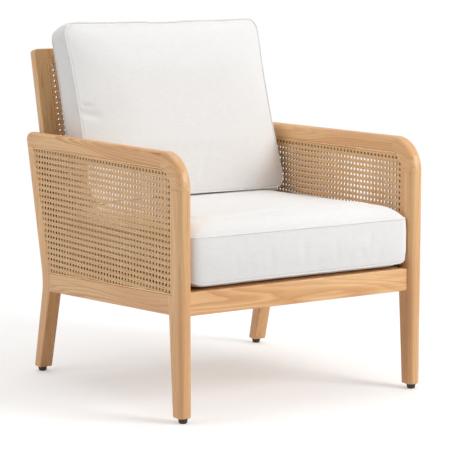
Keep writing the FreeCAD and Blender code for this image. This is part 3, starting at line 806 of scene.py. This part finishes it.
cushionSim = {
    "frames": 20,
    "inset": 0.003,  # the cloth starts inside its shape and swells
    "cap": 0.022,  # the furthest that a point may travel
    "bulge": 0.003,  # the furthest outwards, where a cushion is free
    "sink": 0.001,  # and the furthest inwards
    "pinNear": 0.004,  # held at the seams, free at a distance
    "pinFar": 0.016,
}

clothSettings = {
    "quality": 5,
    "mass": 0.2,
    "tension_stiffness": 20,
    "compression_stiffness": 8,
    "shear_stiffness": 8,
    "bending_stiffness": 2.0,
    "use_pressure": True,
    "uniform_pressure_force": 4.0,
    "vertex_group_mass": "seam",
    "shrink_min": -0.003,
}

# Seams as two (y, z) points of their planes, the lower or rear one first; the ways in which a
# cushion is free to swell; the height of its foot; crown and power of the panel, puff of the
# boxing; round: x where the lower edges start to turn upwards, by how much, and the heights
# between which they do; creases from one (x, z) point to another, with depth and half width
cushionLooks = {
    "seat_pad": {
        "node": "seat_cushion",
        "seams": (((-0.3897, 0.3232), (0.2462, 0.3066)), ((-0.3897, 0.4332), (0.2462, 0.4166))),
        "free": ((0, 0, 1), (0, -1, 0)),
        "foot": 0.0,
        "crown": 0.036,
        "power": 4.0,
        "puff": 0.006,
        "widest": 0.3196,
        "round": (0.2766, 0.020, 0.375, 0.318),
        "taller": 0.0,
        "deeper": 0.0,
        "creases": (),
    },
    "back_pad": {
        "node": "back_cushion",
        "seams": (((0.2099, 0.4394), (0.3298, 0.8921)), ((0.1162, 0.4601), (0.2605, 0.9075))),
        "free": ((0, 0, 1), (0, -1, 0), (1, 0, 0), (-1, 0, 0)),
        "foot": 0.4605,
        "crown": 0.030,
        "power": 1.3,
        "puff": 0.007,
        "widest": 0.310,
        "round": (0.28, 0.0, 0.60, 0.40),
        "taller": 0.0045,
        "deeper": 0.003,
        "creases": (
            ((-0.292, 0.683), (-0.235, 0.668), 0.004, 0.010),
            ((-0.286, 0.700), (-0.250, 0.694), 0.0025, 0.007),
            ((0.03, 0.50), (0.05, 0.57), 0.002, 0.010),
        ),
    },
}

fold = {
    "fine": 34.0,
    "broad": 13.0,
    "fineShare": 0.6,
    "broadShift": (3, 1, 2),
    "runShare": 0.12,  # the folds run away from a seam, so they change little on the way
    "rise": 0.0010,
    "start": 0.006,
    "reach": 0.05,
    "creaseFacing": -0.3,
    "creaseOver": 0.2,  # a crease starts and ends beyond its two points, by this share
    "creaseFull": (0.25, 0.5),
}

welt = {"radius": 0.0020, "sides": 2, "spacing": 0.004, "out": 0.0014, "smooth": 4}


def share01(value, low, high):
    return min(1.0, max(0.0, (value - low) / (high - low)))


def smooth(value, low, high):
    share = share01(value, low, high)
    return share * share * (3.0 - 2.0 * share)


# The normals are read before any vertex moves, because each move makes them stale
def placesOf(mesh):
    return [(vertex.co.copy(), vertex.normal.copy()) for vertex in mesh.vertices]


def moveTo(mesh, places):
    mesh.vertices.foreach_set("co", [number for place in places for number in place])
    mesh.update()


def cushionShell(name, node):
    shell = addObject(name, nodes[node].data.copy())
    mesh = bmesh.new()
    mesh.from_mesh(shell.data)
    bmesh.ops.remove_doubles(mesh, verts=mesh.verts, dist=cushionMake["weld"])
    mesh.to_mesh(shell.data)
    mesh.free()
    return shell


def addModifier(piece, kind, **settings):
    modifier = piece.modifiers.new(kind.lower(), kind)
    for key, value in settings.items():
        setattr(modifier, key, value)
    return modifier


def applyModifiers(piece):
    pick(piece)
    for modifier in list(piece.modifiers):
        bpy.ops.object.modifier_apply(modifier=modifier.name)


def seamPlane(seam):
    (y0, z0), (y1, z1) = seam
    way = Vector((0, y1 - y0, z1 - z0)).normalized()
    return Vector((0, y0, z0)), Vector((0, -way.z, way.y))


# The panel over the front seam is filled out near the seam, and the boxing swells between them
def plump(cushion, look):
    (lowPoint, lowNormal), (point, normal) = [seamPlane(seam) for seam in look["seams"]]
    crown = look["crown"]
    made = []
    for place, outwards in placesOf(cushion.data):
        rise = (place - point).dot(normal)
        above = (place - lowPoint).dot(lowNormal)
        if rise > 0:
            share = min(1.0, rise / crown)
            filled = 1.0 - (1.0 - share) ** look["power"]
            place += normal * crown * (filled - share)
        elif above > 0:
            share = above / (above - rise)
            place += outwards * look["puff"] * 4 * share * (1.0 - share)
            place.x = math.copysign(min(abs(place.x), look["widest"]), place.x)
        made.append(place)
    moveTo(cushion.data, made)


# The closed line in which a plane cuts a shell, in order
def section(shell, point, normal):
    mesh = bmesh.new()
    mesh.from_mesh(shell.data)
    parts = mesh.verts[:] + mesh.edges[:] + mesh.faces[:]
    bmesh.ops.bisect_plane(mesh, geom=parts, plane_co=point, plane_no=normal,
                           clear_inner=True, clear_outer=True)
    vertex = mesh.verts[:][0]
    seen, path = set(), []
    while vertex is not None:
        seen.add(vertex)
        path.append(vertex.co.copy())
        following = [edge.other_vert(vertex) for edge in vertex.link_edges]
        following = [other for other in following if other not in seen]
        vertex = following[0] if following else None
    mesh.free()
    return path


# A closed line with its points at even distances, smoothed a few times
def evenly(path, spacing, rounds):
    ends = path + path[:1]
    lengths = [(b - a).length for a, b in zip(ends, ends[1:])]
    count = round(sum(lengths) / spacing)
    step, made, index, gone = sum(lengths) / count, [], 0, 0.0
    for number in range(count):
        while gone + lengths[index] < number * step:
            gone += lengths[index]
            index += 1
        share = (number * step - gone) / lengths[index] if lengths[index] else 0.0
        made.append(ends[index].lerp(ends[index + 1], share))
    for _ in range(rounds):
        made = [(made[i - 1] + made[i] * 2 + made[(i + 1) % count]) / 4 for i in range(count)]
    return made


# A seam goes round the cushion; where the cushion stands on its foot, it closes along the front
def seamLoop(shell, seam, foot):
    path = section(shell, *seamPlane(seam))
    if foot and min(point.z for point in path) < foot:
        under = [index for index, point in enumerate(path) if point.z < foot]
        turn = [index for index in under if (index + 1) % len(path) not in under][0] + 1
        path = [point for point in path[turn:] + path[:turn] if point.z >= foot]
        across = section(shell, Vector((0, 0, foot)), Vector((0, 0, 1)))
        start, end = path[-1], path[0]
        middle = (start.y + end.y) / 2 + 0.001
        front = [point for point in across if point.y < middle]
        front.sort(key=lambda point: (point - start).length)
        path = path + front
    return evenly(path, welt["spacing"], welt["smooth"])


def loopTree(loops):
    points = [point for loop in loops for point in loop]
    tree = kdtree.KDTree(len(points))
    for index, point in enumerate(points):
        tree.insert(point, index)
    tree.balance()
    return tree


# Cloth under pressure, pinned at the seams; what it did is kept within the cushion's room
def pressCushion(cushion, look, tree):
    home = placesOf(cushion.data)
    group = cushion.vertex_groups.new(name="seam")
    starts = []
    for index, (place, normal) in enumerate(home):
        free = smooth(tree.find(place)[2], cushionSim["pinNear"], cushionSim["pinFar"])
        group.add([index], 1.0 - free, "REPLACE")
        starts.append(place - normal * cushionSim["inset"] * free)
    moveTo(cushion.data, starts)
    cloth = addModifier(cushion, "CLOTH")
    for key, value in clothSettings.items():
        setattr(cloth.settings, key, value)
    cloth.settings.effector_weights.gravity = 0
    cloth.collision_settings.use_collision = False
    cloth.point_cache.frame_end = cushionSim["frames"]
    for step in range(1, cushionSim["frames"] + 1):
        bpy.context.scene.frame_set(step)
    applyModifiers(cushion)
    bpy.context.scene.frame_set(1)
    ways = [Vector(way) for way in look["free"]]
    ends = []
    for (end, _), (start, normal) in zip(placesOf(cushion.data), home):
        move = end - start
        if move.length > cushionSim["cap"]:
            move = move * (cushionSim["cap"] / move.length)
        room = cushionSim["bulge"] * max(0.0, max(normal.dot(way) for way in ways))
        outwards = move.dot(normal)
        held = min(room, max(-cushionSim["sink"], outwards))
        ends.append(start + move + normal * (held - outwards))
    moveTo(cushion.data, ends)


def creaseDepth(place, crease):
    (x0, z0), (x1, z1), depth, half = crease
    along = Vector((x1 - x0, z1 - z0))
    offset = Vector((place.x - x0, place.z - z0))
    share = offset.dot(along) / along.length_squared
    start, end = -fold["creaseOver"], 1.0 + fold["creaseOver"]
    if not start < share < end:
        return 0.0
    gap = (offset - along * share).length
    full, past = fold["creaseFull"]
    fade = smooth(share, start, full) * (1.0 - smooth(share, past, end))
    return depth * fade * math.exp(-(gap / half) ** 2)


# Folds that run away from the seams, and the single creases on the front
def foldCloth(cushion, look, tree):
    made = []
    for place, normal in placesOf(cushion.data):
        near, _, gap = tree.find(place)
        at = near + (place - near) * fold["runShare"]
        wave = noise.noise(at * fold["fine"]) * fold["fineShare"]
        wave += noise.noise(at * fold["broad"] + Vector(fold["broadShift"]))
        fade = smooth(gap, 0.0, fold["start"]) * math.exp(-gap / fold["reach"])
        lift = fold["rise"] * wave * fade
        if normal.y < fold["creaseFacing"]:
            lift -= sum(creaseDepth(place, crease) for crease in look["creases"])
        made.append(place + normal * lift)
    moveTo(cushion.data, made)


# A filled cushion settles: its lower side edges turn upwards, and its head and base reach out
def settle(cushion, look):
    start, rise, high, low = look["round"]
    made = []
    for place, _ in placesOf(cushion.data):
        across = share01(abs(place.x), start, look["widest"])
        fade = 1.0 - share01(place.z, low, high)
        place.z += rise * (1.0 - math.sqrt(1.0 - across * across)) * fade
        head = smooth(place.z, cushionMake["headFrom"], cushionMake["headTo"])
        place.z += look["taller"] * head
        base = 1.0 - smooth(place.z, cushionMake["baseFrom"], cushionMake["baseTo"])
        place.z -= look["deeper"] * base
        made.append(place)
    moveTo(cushion.data, made)


def makeWelt(name, loop, cloth):
    middle = sum(loop, Vector()) / len(loop)
    curve = newCurve(name)
    curve.bevel_depth = welt["radius"]
    curve.bevel_resolution = welt["sides"]
    proud = [place + (place - middle).normalized() * welt["out"] for place in loop]
    addLine(curve, proud, closed=True)
    return curveToMesh(name, curve, cloth)


def makeCushion(name, cloth):
    look = cushionLooks[name]
    node = look["node"]
    even = cushionMake["smooth"]
    cushion = cushionShell(name, node)
    addModifier(cushion, "REMESH", mode="VOXEL", voxel_size=cushionMake["voxel"])
    addModifier(cushion, "SMOOTH", factor=even, iterations=cushionMake["firstSmooth"])
    applyModifiers(cushion)
    plump(cushion, look)
    loops = [seamLoop(cushion, seam, look["foot"]) for seam in look["seams"]]
    tree = loopTree(loops)
    pressCushion(cushion, look, tree)
    print(name, "pressed")
    addModifier(cushion, "SMOOTH", factor=even, iterations=cushionMake["lastSmooth"])
    addModifier(cushion, "SUBSURF", levels=1)
    applyModifiers(cushion)
    foldCloth(cushion, look, tree)
    cushion.data.materials.clear()
    cushion.data.materials.append(cloth)
    welts = []
    for number, loop in enumerate(loops):
        welts.append(makeWelt(name + "_welt_" + str(number), loop, cloth))
    pick(cushion, *welts)
    bpy.ops.object.join()
    cushion = bpy.context.object
    settle(cushion, look)
    bpy.ops.object.shade_smooth()
    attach(cushion, node)
    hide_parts(node)
    print(name, "made with", len(cushion.data.polygons), "faces")


# Small parts, by the last word of their nodes' names: material, colour, roughness, metal

smallParts = {
    "glide": ("glide_rubber", "4A3528", 0.5, 0.0),
    "screws": ("screw_steel", "B9B7B2", 0.3, 1.0),
    "inserts": ("insert_brass", "C8A24E", 0.3, 1.0),
}
smallLook = {
    "scale": 300.0,
    "grime": (0.02, 0.015, 0.01, 1.0),
    "grimeShare": 0.3,
    "roughShare": 0.15,
    "bump": 0.1,
    "bumpDepth": 0.0002,
}


def smallFinish(name, colour, rough, metal):
    finish = newFinish(name)
    mottle = finish.noise(finish.local(), smallLook["scale"], 3.0)
    worn = paint(colour) if metal else smallLook["grime"]
    shade = finish.mix(mottle * smallLook["grimeShare"], paint(colour), worn)
    rough = rough + mottle * smallLook["roughShare"]
    values = {"Base Color": shade, "Roughness": rough, "Metallic": metal}
    return finish.surface(mottle, smallLook["bump"], smallLook["bumpDepth"], values)


def finishSmallParts():
    for word, look in smallParts.items():
        made = smallFinish(*look)
        for name, node in nodes.items():
            if name.endswith(word):
                node.data.materials[0] = made
    print("small parts finished")


# Light and floor; the world is dimmer towards dimWay

studio = {
    "world": 0.60,
    "worldDim": 0.22,
    "dimWay": (-0.54, -0.84, 0.0),
    "dimFrom": 0.1,
    "dimTo": 0.9,
    "aim": (0, 0, 0.4),
    "floorSize": 30.0,
    "floorNear": 0.9,
    "floorFar": 1.45,
    "floorGlow": 0.36,
    "floorColour": (0.72, 0.72, 0.72, 1),
}
lamps = {
    "key": {"place": (1.9, -3.1, 2.4), "size": 1.6, "power": 90.0},
    "top": {"place": (0.3, 0.3, 3.4), "size": 3.0, "power": 36.0},
    "left": {"place": (-3.4, 0.4, 1.7), "size": 2.0, "power": 24.0},
}


# 1 for rays that show the background: those of the camera, and one more kind
def seenDirectly(finish, other):
    path = finish.node("LightPath")
    camera = Field(finish, path.outputs["Is Camera Ray"])
    return camera.math("MAXIMUM", Field(finish, path.outputs[other]))


def addWorld():
    world = bpy.data.worlds.new("studio")
    bpy.context.scene.world = world
    sky = Finish(world)
    seen = seenDirectly(sky, "Is Transmission Ray")
    values = {0: sky.out("TexCoord", output="Generated"), 1: studio["dimWay"]}
    towards = sky.out("VectorMath", {"operation": "DOT_PRODUCT"}, values, "Value")
    dim = sky.soft(towards, studio["dimFrom"], studio["dimTo"])
    light = studio["world"] - dim * (studio["world"] - studio["worldDim"])
    strength = light + seen * (1.0 - light)
    shader = sky.node("Background", None, {"Color": (1, 1, 1, 1), "Strength": strength})
    sky.node("OutputWorld", None, {0: shader})


def addLamp(name, spec):
    bpy.ops.object.light_add(type="AREA", location=spec["place"])
    lamp = bpy.context.object
    lamp.name = name + "_lamp"
    lamp.data.size = spec["size"]
    lamp.data.energy = spec["power"]
    aim = Vector(studio["aim"]) - Vector(spec["place"])
    lamp.rotation_euler = aim.to_track_quat("-Z", "Y").to_euler()


# For the camera the floor turns into plain white away from the chair, and it keeps the shadow
def addFloor():
    clearSelection()
    bpy.ops.mesh.primitive_plane_add(size=studio["floorSize"])
    floor = bpy.context.object
    floor.name = "studio_floor"
    finish = newFinish("studio_floor")
    seen = seenDirectly(finish, "Is Glossy Ray")
    length = {"operation": "LENGTH"}
    away = finish.out("VectorMath", length, {0: finish.local()}, "Value")
    far = finish.soft(away, studio["floorNear"], studio["floorFar"]) * seen
    diffuse = finish.node("BsdfDiffuse", None, {"Color": studio["floorColour"]})
    glow = finish.node("Emission", None, {"Strength": seen * studio["floorGlow"]})
    near = finish.node("AddShader", None, {0: diffuse, 1: glow})
    white = finish.node("Emission")
    both = finish.node("MixShader", None, {0: far, 1: near, 2: white})
    finish.node("OutputMaterial", None, {0: both})
    floor.data.materials.append(finish.owner)


def setStudio():
    bpy.context.scene.view_settings.view_transform = "Standard"
    addWorld()
    for name, spec in lamps.items():
        addLamp(name, spec)
    addFloor()
    print("studio set")


addCamera()
setStudio()
finishWood()
finishSmallParts()
addCane()
linen = linenFinish()
makeCushion("seat_pad", linen)
makeCushion("back_pad", linen)
